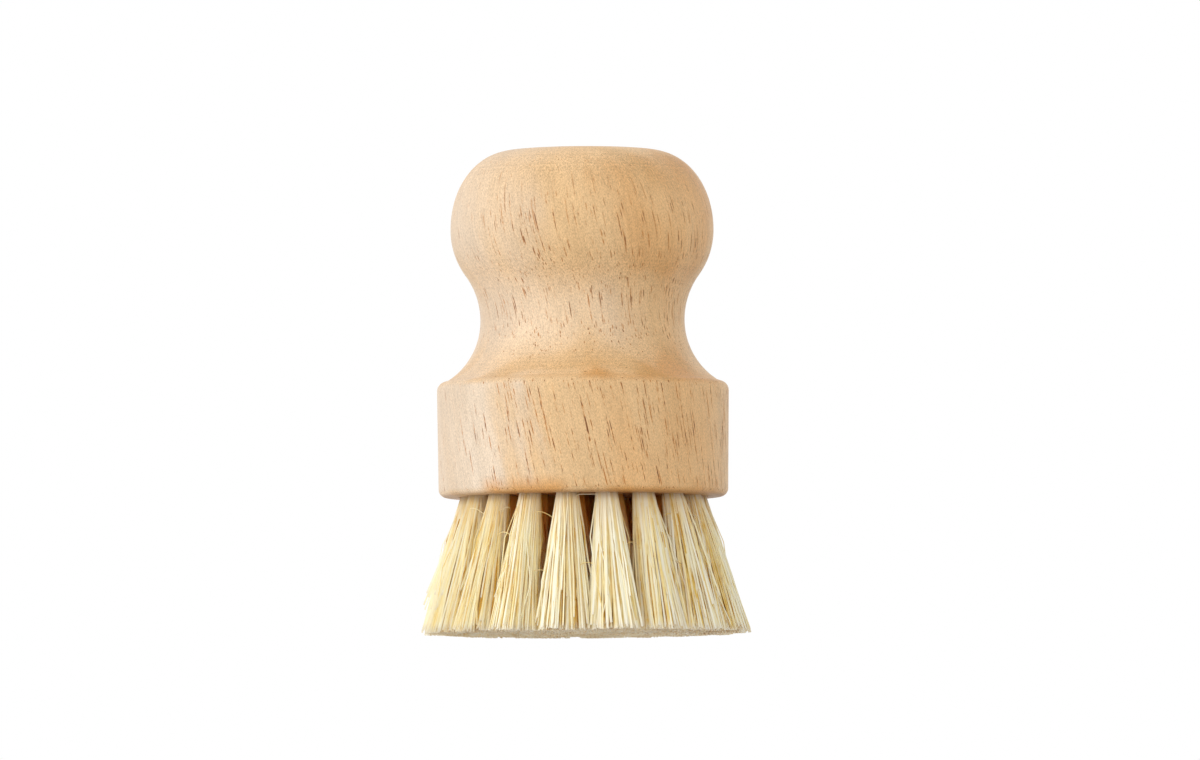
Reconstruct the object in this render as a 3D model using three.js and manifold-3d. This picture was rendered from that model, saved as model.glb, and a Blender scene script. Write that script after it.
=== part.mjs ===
// Pan brush: a turned wooden palm handle, with tufts of plant fibre stapled into holes in its underside.
// Millimetres, +Z up along the turning axis. The origin is on the surface that the bristle tips stand on.
import * as THREE from "three";
import { mergeVertices } from "three/addons/utils/BufferGeometryUtils.js";
import Module from "manifold-3d";

// Handle, with levels measured up from the tuft face
const HANDLE_HEIGHT = 59.4;
const TOP_FLAT_RADIUS = 11.8;
const CROWN_FULLNESS = 2.05;
const KNOB_RADIUS = 22.55;
const KNOB_LEVEL = 45.8;
const WAIST_RADIUS = 17.5;
const WAIST_LEVEL = 30.3;
const BASE_RADIUS = 25;
const SHOULDER_LEVEL = 19.8;
const SHOULDER_ROUNDING = 1.6;
const BASE_TAPER = 0.2;
const FOOT_ROUNDING = 1.4;

// Tuft face: the bristle rings' backing slices lie in a shallow recess of the handle
const RIM_LAND = 1;
const SLICE_THICKNESS = 2;
const EDGE_LAND = 0.65;
const RING_PITCH = 6.4;
const TUFT_PITCH = 6.68;
const TUFT_PHASE = THREE.MathUtils.degToRad(172);

// Tufts
const BRISTLE_LENGTH = 23.7;
const OUTER_LEAN = 5;
const ROOT_RADIUS = 2;
const TUFT_TIP_RADIUS = 3.7;
const STRANDS_PER_TUFT = 9;
const STRAND_RADIUS = 0.38;
const TIP_DOME = 1.7;
const TIP_FLAT = 0.5;

// Holes and staples, along each hole's own axis
const HOLE_DEPTH = 11;
const FOLD_THICKNESS = 1.2;
const WIRE = 0.8;
const LEG_BITE = 4.5;
const LEG_POINT = 1;
const CLEARANCE = 0.3;

// Facets
const TURNED_SIDES = 40;
const SLICE_SIDES = 28;
const HOLE_SIDES = 8;
const CROWN_STEPS = 8;
const WAIST_STEPS = 6;
const FLARE_STEPS = 6;
const ROUNDING_STEPS = 3;

// Sizes that follow from the driving dimensions
const FACE_Z = BRISTLE_LENGTH;
const FOOT_RADIUS = BASE_RADIUS - BASE_TAPER;
const HOLE_RADIUS = ROOT_RADIUS + CLEARANCE;
const RECESS_RADIUS = FOOT_RADIUS - FOOT_ROUNDING - RIM_LAND;
const RECESS_DEPTH = SLICE_THICKNESS + CLEARANCE;
const OUTER_RING_RADIUS = RECESS_RADIUS - CLEARANCE - EDGE_LAND - HOLE_RADIUS;
const RING_COUNT = Math.round(OUTER_RING_RADIUS / RING_PITCH);
const RING_STEP = OUTER_RING_RADIUS / RING_COUNT;
const LEAN_PER_RADIUS = OUTER_LEAN / OUTER_RING_RADIUS;
const TIP_EDGE_RADIUS = OUTER_RING_RADIUS + OUTER_LEAN + TUFT_TIP_RADIUS;
const STRAND_ROOT_RADIUS = ROOT_RADIUS - STRAND_RADIUS;
const WIRE_SLOT = WIRE + 2 * CLEARANCE;
const FOLD_TOP = HOLE_DEPTH - CLEARANCE;
const SLOT_TOP = FOLD_TOP - FOLD_THICKNESS;
const SLOT_BOTTOM = SLOT_TOP - WIRE_SLOT;
const CROWN_TOP = SLOT_TOP - CLEARANCE;
const LEG_TOP = HOLE_DEPTH + LEG_BITE;
const LEG_CENTRE = ROOT_RADIUS - WIRE / 2;
const FOLD_WIDTH = 2 * (ROOT_RADIUS - WIRE - CLEARANCE);
const FOLD_DEPTH = 2 * LEG_CENTRE;

const finish = (name, color, roughness, metalness) =>
  new THREE.MeshStandardMaterial({ name, color, roughness, metalness });
const wood = finish("wood", 0xdfb786, 0.55, 0);
const fibre = finish("fibre", 0xe9d9a8, 0.8, 0);
const steel = finish("steel", 0xb4b4b0, 0.35, 1);

const wasm = await Module();
wasm.setup();

// A closed geometry as a solid that can be joined and cut
function solidOf(geometry) {
  const bare = geometry.clone();
  bare.deleteAttribute("normal");
  bare.deleteAttribute("uv");
  const merged = mergeVertices(bare, 1e-4);
  return new wasm.Manifold(
    new wasm.Mesh({
      numProp: 3,
      vertProperties: new Float32Array(merged.attributes.position.array),
      triVerts: new Uint32Array(merged.index.array),
    }),
  );
}

function geometryOf(solid) {
  const mesh = solid.getMesh();
  const geometry = new THREE.BufferGeometry();
  geometry.setAttribute("position", new THREE.BufferAttribute(mesh.vertProperties, 3));
  geometry.setIndex(new THREE.BufferAttribute(mesh.triVerts, 1));
  geometry.computeVertexNormals();
  return geometry;
}

const joined = (solids) => wasm.Manifold.union(solids);

// A turned solid from points of (radius, level) listed upwards
function turned(points, sides) {
  const profile = points.map(([radius, level]) => new THREE.Vector2(radius, level));
  return new THREE.LatheGeometry(profile, sides).rotateX(Math.PI / 2);
}

function cylinder(radius, bottom, top, sides) {
  const made = new THREE.CylinderGeometry(radius, radius, top - bottom, sides);
  return made.rotateX(Math.PI / 2).translate(0, 0, (bottom + top) / 2);
}

function box(width, depth, bottom, top, x = 0) {
  return new THREE.BoxGeometry(width, depth, top - bottom).translate(x, 0, (bottom + top) / 2);
}

// Values from first to last, both included
const steps = (first, last, count) =>
  Array.from({ length: count + 1 }, (_, i) => first + ((last - first) * i) / count);

// Foot, wall and shoulder of the base, upwards
function baseProfile() {
  const foot = steps(0, Math.PI / 2, ROUNDING_STEPS).map((a) => [
    FOOT_RADIUS - FOOT_ROUNDING * (1 - Math.sin(a)),
    FOOT_ROUNDING * (1 - Math.cos(a)),
  ]);
  const shoulder = steps(0, Math.PI / 2, ROUNDING_STEPS).map((a) => [
    BASE_RADIUS - SHOULDER_ROUNDING * (1 - Math.cos(a)),
    SHOULDER_LEVEL - SHOULDER_ROUNDING * (1 - Math.sin(a)),
  ]);
  return [...foot, ...shoulder];
}

// One arc from the shoulder up to the waist, upright where it reaches the waist
function flareProfile() {
  const run = BASE_RADIUS - SHOULDER_ROUNDING - WAIST_RADIUS;
  const rise = WAIST_LEVEL - SHOULDER_LEVEL;
  const arc = (run * run + rise * rise) / (2 * run);
  const sweep = Math.atan2(rise, arc - run);
  return steps(sweep, 0, FLARE_STEPS).slice(1).map((a) => [
    WAIST_RADIUS + arc * (1 - Math.cos(a)),
    WAIST_LEVEL - arc * Math.sin(a),
  ]);
}

// Two equal arcs from the waist out to the knob, upright at both ends
function neckProfile() {
  const run = KNOB_RADIUS - WAIST_RADIUS;
  const rise = KNOB_LEVEL - WAIST_LEVEL;
  const arc = (run * run + rise * rise) / (4 * run);
  const sweep = 2 * Math.atan2(run, rise);
  const hollow = steps(0, sweep, WAIST_STEPS).slice(1).map((a) => [
    WAIST_RADIUS + arc * (1 - Math.cos(a)),
    WAIST_LEVEL + arc * Math.sin(a),
  ]);
  const swell = steps(sweep, 0, WAIST_STEPS).slice(1).map((a) => [
    KNOB_RADIUS - arc * (1 - Math.cos(a)),
    KNOB_LEVEL - arc * Math.sin(a),
  ]);
  return [...hollow, ...swell];
}

// A full rounded quarter from the knob to the edge of the flat top
function crownProfile() {
  const rise = HANDLE_HEIGHT - KNOB_LEVEL;
  const run = KNOB_RADIUS - TOP_FLAT_RADIUS;
  return steps(0, Math.PI / 2, CROWN_STEPS).slice(1).map((a) => {
    const height = Math.sin(a);
    const width = Math.max(0, 1 - height ** CROWN_FULLNESS) ** (1 / CROWN_FULLNESS);
    return [TOP_FLAT_RADIUS + run * width, KNOB_LEVEL + rise * height];
  });
}

// Every tuft's ring, place and hole frame: local +Z runs up the hole, local X along the ring
function tuftsOf(ring, radius, count) {
  const name = ["centre", "inner", "middle", "outer"][ring] ?? `ring_${ring}`;
  return Array.from({ length: count }, (_, i) => {
    const turn = TUFT_PHASE + (2 * Math.PI * i) / count;
    const frame = new THREE.Group();
    frame.rotation.order = "ZXY";
    frame.rotation.set(Math.atan2(LEAN_PER_RADIUS * radius, BRISTLE_LENGTH), 0, turn);
    frame.position.set(-radius * Math.sin(turn), radius * Math.cos(turn), FACE_Z);
    frame.updateMatrix();
    const label = count > 1 ? `${name}_${String(i + 1).padStart(2, "0")}` : name;
    return { ring, name, label, turn, frame, place: frame.position };
  });
}

const placed = (geometry, tuft) => solidOf(geometry.applyMatrix4(tuft.frame.matrix));

// The folded root of a tuft in its hole, with the fold looped over the staple's crown
function foldedRoot(tuft) {
  const root = cylinder(ROOT_RADIUS, SLICE_THICKNESS / 2, SLOT_BOTTOM, HOLE_SIDES);
  const fold = box(FOLD_WIDTH, FOLD_DEPTH, SLOT_BOTTOM - CLEARANCE, FOLD_TOP);
  const loop = box(2 * FOLD_WIDTH, WIRE_SLOT, SLOT_BOTTOM, SLOT_TOP);
  return placed(root, tuft).add(placed(fold, tuft).subtract(placed(loop, tuft)));
}

// The cutter for one hole: the drilling and the two slits that the staple's legs make
function holeCutter(tuft) {
  const drilling = cylinder(HOLE_RADIUS, 0, HOLE_DEPTH, HOLE_SIDES);
  const slits = [-LEG_CENTRE, LEG_CENTRE].map((x) =>
    box(WIRE_SLOT, WIRE_SLOT, HOLE_DEPTH - WIRE, LEG_TOP + CLEARANCE, x),
  );
  return joined([drilling, ...slits].map((cut) => placed(cut, tuft)));
}

// Strand places in a tuft, spread evenly over a circle of radius 1, the farthest one straight outwards
const strandSpread = steps(1, STRANDS_PER_TUFT, STRANDS_PER_TUFT - 1).map((strand) => {
  const goldenAngle = Math.PI * (3 - Math.sqrt(5));
  const reach = Math.sqrt(strand / STRANDS_PER_TUFT);
  const turn = (STRANDS_PER_TUFT - strand) * goldenAngle;
  return new THREE.Vector2(0, reach).rotateAround(new THREE.Vector2(), turn);
});

// One three-sided strand from inside its slice down to the cut tip
function strand(tuft, spread) {
  const offset = spread.clone().rotateAround(new THREE.Vector2(), tuft.turn);
  const centre = new THREE.Vector2(tuft.place.x, tuft.place.y);
  const face = centre.clone().addScaledVector(offset, STRAND_ROOT_RADIUS);
  const tip = centre.multiplyScalar(1 + LEAN_PER_RADIUS).addScaledVector(offset, TUFT_TIP_RADIUS);
  const reach = tip.length() / TIP_EDGE_RADIUS;
  const tipZ = Math.max(0, TIP_DOME * reach * reach - TIP_FLAT);
  const corners = [FACE_Z + SLICE_THICKNESS / 2, tipZ].flatMap((z) => {
    const middle = face.clone().lerp(tip, 1 - z / BRISTLE_LENGTH);
    return [0, 1, 2].flatMap((side) => {
      const angle = tuft.turn + (2 * Math.PI * side) / 3;
      return [middle.x + STRAND_RADIUS * Math.cos(angle), middle.y + STRAND_RADIUS * Math.sin(angle), z];
    });
  });
  const geometry = new THREE.BufferGeometry();
  geometry.setAttribute("position", new THREE.Float32BufferAttribute(corners, 3));
  geometry.setIndex([0, 1, 2, 5, 4, 3, 0, 3, 1, 1, 3, 4, 1, 4, 2, 2, 4, 5, 2, 5, 0, 0, 5, 3]);
  return solidOf(geometry);
}

// The slice of the wooden face that one ring of tufts is rooted in
function backingSlice(ring) {
  const middle = ring * RING_STEP;
  const outside =
    ring === RING_COUNT ? RECESS_RADIUS - CLEARANCE : middle + RING_STEP / 2 - CLEARANCE / 2;
  const inside = ring === 0 ? 0 : middle - RING_STEP / 2 + CLEARANCE / 2;
  const top = FACE_Z + SLICE_THICKNESS;
  const section = [[inside, FACE_Z], [outside, FACE_Z], [outside, top], [inside, top]];
  return solidOf(turned(ring === 0 ? section : [...section, section[0]], SLICE_SIDES));
}

function tuftRing(tufts) {
  const strands = tufts.flatMap((tuft) => strandSpread.map((spread) => strand(tuft, spread)));
  return joined([backingSlice(tufts[0].ring), ...tufts.map(foldedRoot), ...strands]);
}

function handle(tufts) {
  const above = ([radius, level]) => [radius, FACE_Z + level];
  const outline = [...baseProfile(), ...flareProfile(), ...neckProfile(), ...crownProfile()].map(above);
  const blank = solidOf(turned([[0, FACE_Z], ...outline, [0, FACE_Z + HANDLE_HEIGHT]], TURNED_SIDES));
  const recess = cylinder(RECESS_RADIUS, FACE_Z - RECESS_DEPTH, FACE_Z + RECESS_DEPTH, TURNED_SIDES);
  return blank.subtract(joined([solidOf(recess), ...tufts.map(holeCutter)]));
}

// A wire staple bent square, its crown across the fold and its pointed legs up in the wood
function staple() {
  const outer = ROOT_RADIUS;
  const inner = ROOT_RADIUS - WIRE;
  const crownBottom = CROWN_TOP - WIRE;
  const half = [
    [outer, crownBottom],
    [outer, LEG_TOP],
    [inner, LEG_TOP - LEG_POINT],
    [inner, CROWN_TOP],
  ];
  const mirrored = half.map(([x, z]) => [-x, z]).reverse();
  const outline = new THREE.Shape([...half, ...mirrored].map(([x, z]) => new THREE.Vector2(x, z)));
  const bent = new THREE.ExtrudeGeometry(outline, { depth: WIRE, bevelEnabled: false });
  return bent.translate(0, 0, -WIRE / 2).rotateX(Math.PI / 2);
}

function named(name, geometry, material) {
  const mesh = new THREE.Mesh(geometry, material.clone());
  mesh.name = name;
  return mesh;
}

const rings = steps(RING_COUNT, 0, RING_COUNT).map((ring) => {
  const radius = ring * RING_STEP;
  return tuftsOf(ring, radius, Math.max(1, Math.round((2 * Math.PI * radius) / TUFT_PITCH)));
});

const brush = new THREE.Group();
brush.add(named("handle", geometryOf(handle(rings.flat())), wood));
for (const tufts of rings) {
  brush.add(named(`${tufts[0].name}_tufts`, geometryOf(tuftRing(tufts)), fibre));
  for (const tuft of tufts) {
    tuft.frame.add(named(`staple_${tuft.label}`, staple(), steel));
    brush.add(tuft.frame);
  }
}

export default brush;
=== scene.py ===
"""Pan brush: a turned wooden palm handle, splayed tufts of plant fibre and the staples that hold them.

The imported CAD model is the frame. Sizes in the classes are millimetres, and meshes are in metres.
"""

import logging
import math
from dataclasses import dataclass, field
from enum import Enum
from typing import Any, Optional, Union

import bpy
from mathutils import Matrix, Vector


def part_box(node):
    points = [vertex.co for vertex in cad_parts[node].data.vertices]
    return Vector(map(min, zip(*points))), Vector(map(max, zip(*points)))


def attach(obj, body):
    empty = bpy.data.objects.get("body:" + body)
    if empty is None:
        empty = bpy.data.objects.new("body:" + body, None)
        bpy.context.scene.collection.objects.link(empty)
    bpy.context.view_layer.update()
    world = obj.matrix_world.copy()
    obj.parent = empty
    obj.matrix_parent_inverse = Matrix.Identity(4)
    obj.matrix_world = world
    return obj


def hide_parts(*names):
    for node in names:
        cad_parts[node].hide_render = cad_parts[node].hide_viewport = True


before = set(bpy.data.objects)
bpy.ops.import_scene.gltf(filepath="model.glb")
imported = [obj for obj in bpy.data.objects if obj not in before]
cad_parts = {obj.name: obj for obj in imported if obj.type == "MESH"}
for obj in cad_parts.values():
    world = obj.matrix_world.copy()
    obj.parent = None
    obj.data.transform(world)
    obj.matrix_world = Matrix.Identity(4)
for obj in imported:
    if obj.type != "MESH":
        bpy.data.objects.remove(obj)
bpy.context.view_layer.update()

Colour = tuple[float, float, float, float]
Triple = tuple[float, float, float]
Range = tuple[float, float]
ProfilePoint = tuple[float, float]
Socket = bpy.types.NodeSocket
Key = Union[int, str]
Feed = Union["Flow", float, int, str, tuple, bpy.types.ID]
Inputs = dict[Key, Feed]

MM = 0.001
BODY = "root"
GOLDEN_ANGLE = math.pi * (3 - math.sqrt(5))
LEVEL_ONLY = (1.0, 1.0, 0.0)
NOISE_MIDDLE = 0.5
HALF_STEP = 0.5
EVEN_CHANCE = 0.5
DRIFT_DETAIL = 3.0
SCREEN_FULL = 255
CURVE_START = 0.04045
CURVE_SLOPE = 12.92
CURVE_LIFT = 0.055
CURVE_POWER = 2.4
log = logging.getLogger("pan_brush")


class SocketKind(Enum):
    """Kinds of socket on a node group's outside."""

    FLOAT = "NodeSocketFloat"
    INT = "NodeSocketInt"
    VECTOR = "NodeSocketVector"
    GEOMETRY = "NodeSocketGeometry"
    MATERIAL = "NodeSocketMaterial"


class TreeKind(Enum):
    """Kinds of node tree that this script builds."""

    SHAPE = "GeometryNodeTree"
    SURFACE = "ShaderNodeTree"


class Draw(Enum):
    """What each random draw is for. The number is added to the ring's seed."""

    TIP_SPIN = 1
    TIP_REACH = 2
    TUFT_SHIFT = 3
    TRIM = 4
    BROKEN = 5
    WILD = 6
    BEAT = 7
    BOW = 8
    WAVE = 9
    TINT = 10
    GIRTH = 11
    CLUMP_SHIFT = 12
    CLUMP_TRIM = 13
    HAIR_START = 20
    HAIR_SIDE = 21
    HAIR_LENGTH = 22
    HAIR_VEER = 23
    HAIR_RISE = 24
    HAIR_GIRTH = 25
    HAIR_TINT = 26
    HAIR_TURN = 27


def linear(channel: int) -> float:
    """Undoes the screen's tone curve for one channel.

    Args:
        channel: The channel on the screen, from 0 to 255.

    Returns:
        The linear channel, from 0 to 1.
    """
    share = channel / SCREEN_FULL
    if share <= CURVE_START:
        return share / CURVE_SLOPE
    return ((share + CURVE_LIFT) / (1 + CURVE_LIFT)) ** CURVE_POWER


def paint(red: int, green: int, blue: int) -> Colour:
    """Turns a screen colour into the linear colour that a shader takes."""
    return (linear(red), linear(green), linear(blue), 1.0)


@dataclass(frozen=True)
class Ramp:
    """A smooth change of one value, from start to end, while another goes from low to high."""

    low: Feed
    high: Feed
    start: float = 0.0
    end: float = 1.0


@dataclass(frozen=True)
class Texture:
    """A noise texture: its fineness each way, in marks to the millimetre, and its smaller detail."""

    fineness: Triple
    detail: float = 1.0
    roughness: float = 0.5


@dataclass(frozen=True, eq=False)
class Flow:
    """What one socket gives, used in formulas as a number or a vector is."""

    graph: "NodeGraph"
    socket: Socket

    def __add__(self, other: Feed) -> "Flow":
        """Gives the sum."""
        return self.graph.combine("ADD", self, other)

    def __sub__(self, other: Feed) -> "Flow":
        """Gives the difference."""
        return self.graph.combine("SUBTRACT", self, other)

    def __rsub__(self, other: Feed) -> "Flow":
        """Gives the difference from a plain number."""
        return self.graph.combine("SUBTRACT", other, self)

    def __mul__(self, other: Feed) -> "Flow":
        """Gives the product."""
        return self.graph.combine("MULTIPLY", self, other)

    def __truediv__(self, other: Feed) -> "Flow":
        """Gives the quotient."""
        return self.graph.combine("DIVIDE", self, other)

    def __rtruediv__(self, other: Feed) -> "Flow":
        """Gives a plain number's quotient."""
        return self.graph.combine("DIVIDE", other, self)

    def __pow__(self, power: Feed) -> "Flow":
        """Gives the power."""
        return self.graph.combine("POWER", self, power)

    def __abs__(self) -> "Flow":
        """Gives the number without its sign."""
        return self.graph.math("ABSOLUTE", self)


class NodeGraph:
    """Adds nodes to one node tree and wires them together."""

    def __init__(self, tree: bpy.types.NodeTree) -> None:
        """Keeps the tree and empties it."""
        self.tree = tree
        tree.nodes.clear()

    def feed(self, socket: Socket, value: Feed) -> None:
        """Links a socket to another one, or sets its own value.

        Args:
            socket: The input socket.
            value: Another socket's flow, or a plain value.
        """
        if isinstance(value, Flow):
            self.tree.links.new(value.socket, socket)
        else:
            socket.default_value = value

    def add(self, kind: str, inputs: Optional[Inputs] = None, **settings: Any) -> bpy.types.Node:
        """Adds one node.

        Args:
            kind: Blender's name of the node's type.
            inputs: What goes into each input, by the input's name or index.
            settings: The node's own properties.

        Returns:
            The new node.
        """
        node = self.tree.nodes.new(kind)
        for name, value in settings.items():
            setattr(node, name, value)
        for key, value in (inputs or {}).items():
            self.feed(node.inputs[key], value)
        return node

    def result(self, kind: str, inputs: Optional[Inputs] = None, output: Key = 0, **settings: Any) -> Flow:
        """Adds one node and gives one of its outputs."""
        return Flow(self, self.add(kind, inputs, **settings).outputs[output])

    def math(self, operation: str, *values: Feed, clamp: bool = False) -> Flow:
        """Gives the result of one Math node."""
        return self.result("ShaderNodeMath", dict(enumerate(values)), operation=operation, use_clamp=clamp)

    def vector_math(self, operation: str, inputs: Inputs, output: int = 0) -> Flow:
        """Gives the result of one Vector Math node: its vector at output 0, its number at 1."""
        return self.result("ShaderNodeVectorMath", inputs, output, operation=operation)

    @staticmethod
    def is_vector(value: Feed) -> bool:
        """Tells a vector or a colour from a number.

        Args:
            value: A flow, a tuple or a plain number.

        Returns:
            Whether it is a vector or a colour.
        """
        if isinstance(value, Flow):
            return value.socket.type in ("VECTOR", "RGBA")
        return isinstance(value, tuple)

    def combine(self, operation: str, first: Feed, second: Feed) -> Flow:
        """Gives the result of an operation on two numbers, two vectors or one of each.

        Args:
            operation: Blender's name of the operation.
            first: The first number or vector.
            second: The second one. Only MULTIPLY takes a vector with a number.

        Returns:
            The result.
        """
        vectors = (self.is_vector(first), self.is_vector(second))
        if not any(vectors):
            return self.math(operation, first, second)
        if all(vectors):
            return self.vector_math(operation, {0: first, 1: second})
        vector, scale = (first, second) if vectors[0] else (second, first)
        return self.vector_math("SCALE", {0: vector, "Scale": scale})

    def larger(self, first: Feed, second: Feed) -> Flow:
        """Gives the larger of two numbers."""
        return self.math("MAXIMUM", first, second)

    def length(self, vector: Feed) -> Flow:
        """Gives a vector's length."""
        return self.vector_math("LENGTH", {0: vector}, 1)

    def dot(self, first: Feed, second: Feed) -> Flow:
        """Gives two vectors' dot product."""
        return self.vector_math("DOT_PRODUCT", {0: first, 1: second}, 1)

    def vector(self, x: Feed = 0.0, y: Feed = 0.0, z: Feed = 0.0) -> Flow:
        """Gives a vector made of three numbers."""
        return self.result("ShaderNodeCombineXYZ", {0: x, 1: y, 2: z})

    def parts(self, vector: Feed) -> tuple[Flow, Flow, Flow]:
        """Gives a vector's three numbers."""
        return tuple(Flow(self, part) for part in self.add("ShaderNodeSeparateXYZ", {0: vector}).outputs)

    def polar(self, radius: Feed, angle: Feed) -> Flow:
        """Gives the level vector of that length and direction."""
        return self.vector(self.math("COSINE", angle) * radius, self.math("SINE", angle) * radius)

    @staticmethod
    def lerp(share: Flow, start: Flow, end: Flow) -> Flow:
        """Gives the vector that lies that share of the way from start to end."""
        return start + (end - start) * share

    def span(self, value: Feed, ramp: Ramp) -> Flow:
        """Gives how far a ramp has changed at a value, held at both ends."""
        inputs = {"Value": value, 1: ramp.low, 2: ramp.high, 3: ramp.start, 4: ramp.end}
        return self.result("ShaderNodeMapRange", inputs, interpolation_type="SMOOTHSTEP")

    def blend(self, share: Feed, first: Feed, second: Feed, mode: str = "MIX") -> Flow:
        """Mixes two colours."""
        inputs = {0: share, 6: first, 7: second}
        return self.result("ShaderNodeMix", inputs, 2, data_type="RGBA", blend_type=mode, clamp_factor=True)

    def noise(self, place: Flow, texture: Texture, output: str = "Fac") -> Flow:
        """Gives a noise texture's value, from 0 to 1, or its colour.

        Args:
            place: The place in millimetres.
            texture: The noise texture.
            output: Fac for the value, Color for the colour.

        Returns:
            The value or the colour.
        """
        inputs = {
            "Vector": place * texture.fineness,
            "Scale": 1.0,
            "Detail": texture.detail,
            "Roughness": texture.roughness,
        }
        return self.result("ShaderNodeTexNoise", inputs, output)

    def place(self) -> Flow:
        """Gives the place on the surface, in millimetres."""
        return self.result("ShaderNodeTexCoord", output="Object") * (1 / MM)

    def drift(self, group: "NodeGroup", place: Flow, scale: float, amount: float) -> Flow:
        """Gives the shared slow change of tone, at a scale and a strength."""
        inputs = {"Vector": place, "Scale": scale, "Amount": amount}
        return self.result("ShaderNodeGroup", inputs, node_tree=group.tree)

    def shine(self, inputs: Inputs) -> None:
        """Ends a material in a Principled shader with these inputs."""
        shader = self.result("ShaderNodeBsdfPrincipled", inputs)
        self.add("ShaderNodeOutputMaterial", {"Surface": shader})


class NodeGroup(NodeGraph):
    """A node group with named sockets on its outside."""

    def __init__(
        self, name: str, kind: TreeKind, inputs: dict[str, SocketKind], outputs: dict[str, SocketKind]
    ) -> None:
        """Makes the group, its sockets and its two end nodes.

        Args:
            name: The group's name.
            kind: Whether it makes shapes or surfaces.
            inputs: Each input's name and kind.
            outputs: Each output's name and kind.
        """
        super().__init__(bpy.data.node_groups.new(name, kind.value))
        for way, sockets in (("INPUT", inputs), ("OUTPUT", outputs)):
            for label, socket in sockets.items():
                self.tree.interface.new_socket(label, in_out=way, socket_type=socket.value)
        self.start = self.tree.nodes.new("NodeGroupInput")
        self.end = self.tree.nodes.new("NodeGroupOutput")

    def given(self, name: str) -> Flow:
        """Gives what one of the group's inputs carries."""
        return Flow(self, self.start.outputs[name])

    def give(self, name: str, value: Feed) -> None:
        """Sets what one of the group's outputs carries."""
        self.feed(self.end.inputs[name], value)

    def identifiers(self) -> dict[str, str]:
        """Gives the identifier that a modifier uses for each named input."""
        items = self.tree.interface.items_tree
        return {item.name: item.identifier for item in items if item.in_out == "INPUT"}


def made_by_rule(
    name: str, group: NodeGroup, values: dict[str, Any], start: Optional[bpy.types.Mesh] = None
) -> bpy.types.Object:
    """Runs a shape group once and keeps its result as a plain mesh object.

    Args:
        name: The piece's name.
        group: The shape group.
        values: The group's inputs by name.
        start: The mesh that the group starts from, or none.

    Returns:
        The new object, at the origin, with no modifier.
    """
    piece = bpy.data.objects.new(name, start or bpy.data.meshes.new(name))
    bpy.context.scene.collection.objects.link(piece)
    rule = piece.modifiers.new(group.tree.name, "NODES")
    rule.node_group = group.tree
    identifiers = group.identifiers()
    for label, value in values.items():
        rule[identifiers[label]] = value
    depsgraph = bpy.context.evaluated_depsgraph_get()
    mesh = bpy.data.meshes.new_from_object(piece.evaluated_get(depsgraph), depsgraph=depsgraph)
    piece.modifiers.remove(rule)
    piece.data = mesh
    mesh.name = name
    return piece


def new_surface(name: str) -> tuple[bpy.types.Material, NodeGraph]:
    """Makes an empty material.

    Args:
        name: The material's name.

    Returns:
        The material and the graph of its nodes.
    """
    material = bpy.data.materials.new(name)
    material.use_nodes = True
    return material, NodeGraph(material.node_tree)


def tone_drift_group() -> NodeGroup:
    """Builds the slow change of tone that every natural finish has.

    Returns:
        The surface group: its Value swings about 0 by up to Amount.
    """
    inputs = {"Vector": SocketKind.VECTOR, "Scale": SocketKind.FLOAT, "Amount": SocketKind.FLOAT}
    group = NodeGroup("Tone Drift", TreeKind.SURFACE, inputs, {"Value": SocketKind.FLOAT})
    texture = {"Vector": group.given("Vector"), "Scale": group.given("Scale"), "Detail": DRIFT_DETAIL}
    swing = group.result("ShaderNodeTexNoise", texture, "Fac") * 2.0 - 1.0
    group.give("Value", swing * group.given("Amount"))
    return group


@dataclass(frozen=True)
class Vessel:
    """The vessels of a wood: the distance between them, their radius and their length in millimetres."""

    spacing: float
    radius: float
    length: float


@dataclass(frozen=True)
class WoodPlace:
    """Where a point of the wood's surface lies, in millimetres, and how the surface cuts the grain there."""

    across: Flow
    depth: Flow
    level: Flow
    grain: Flow
    crossing: Flow
    end: Flow


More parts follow.
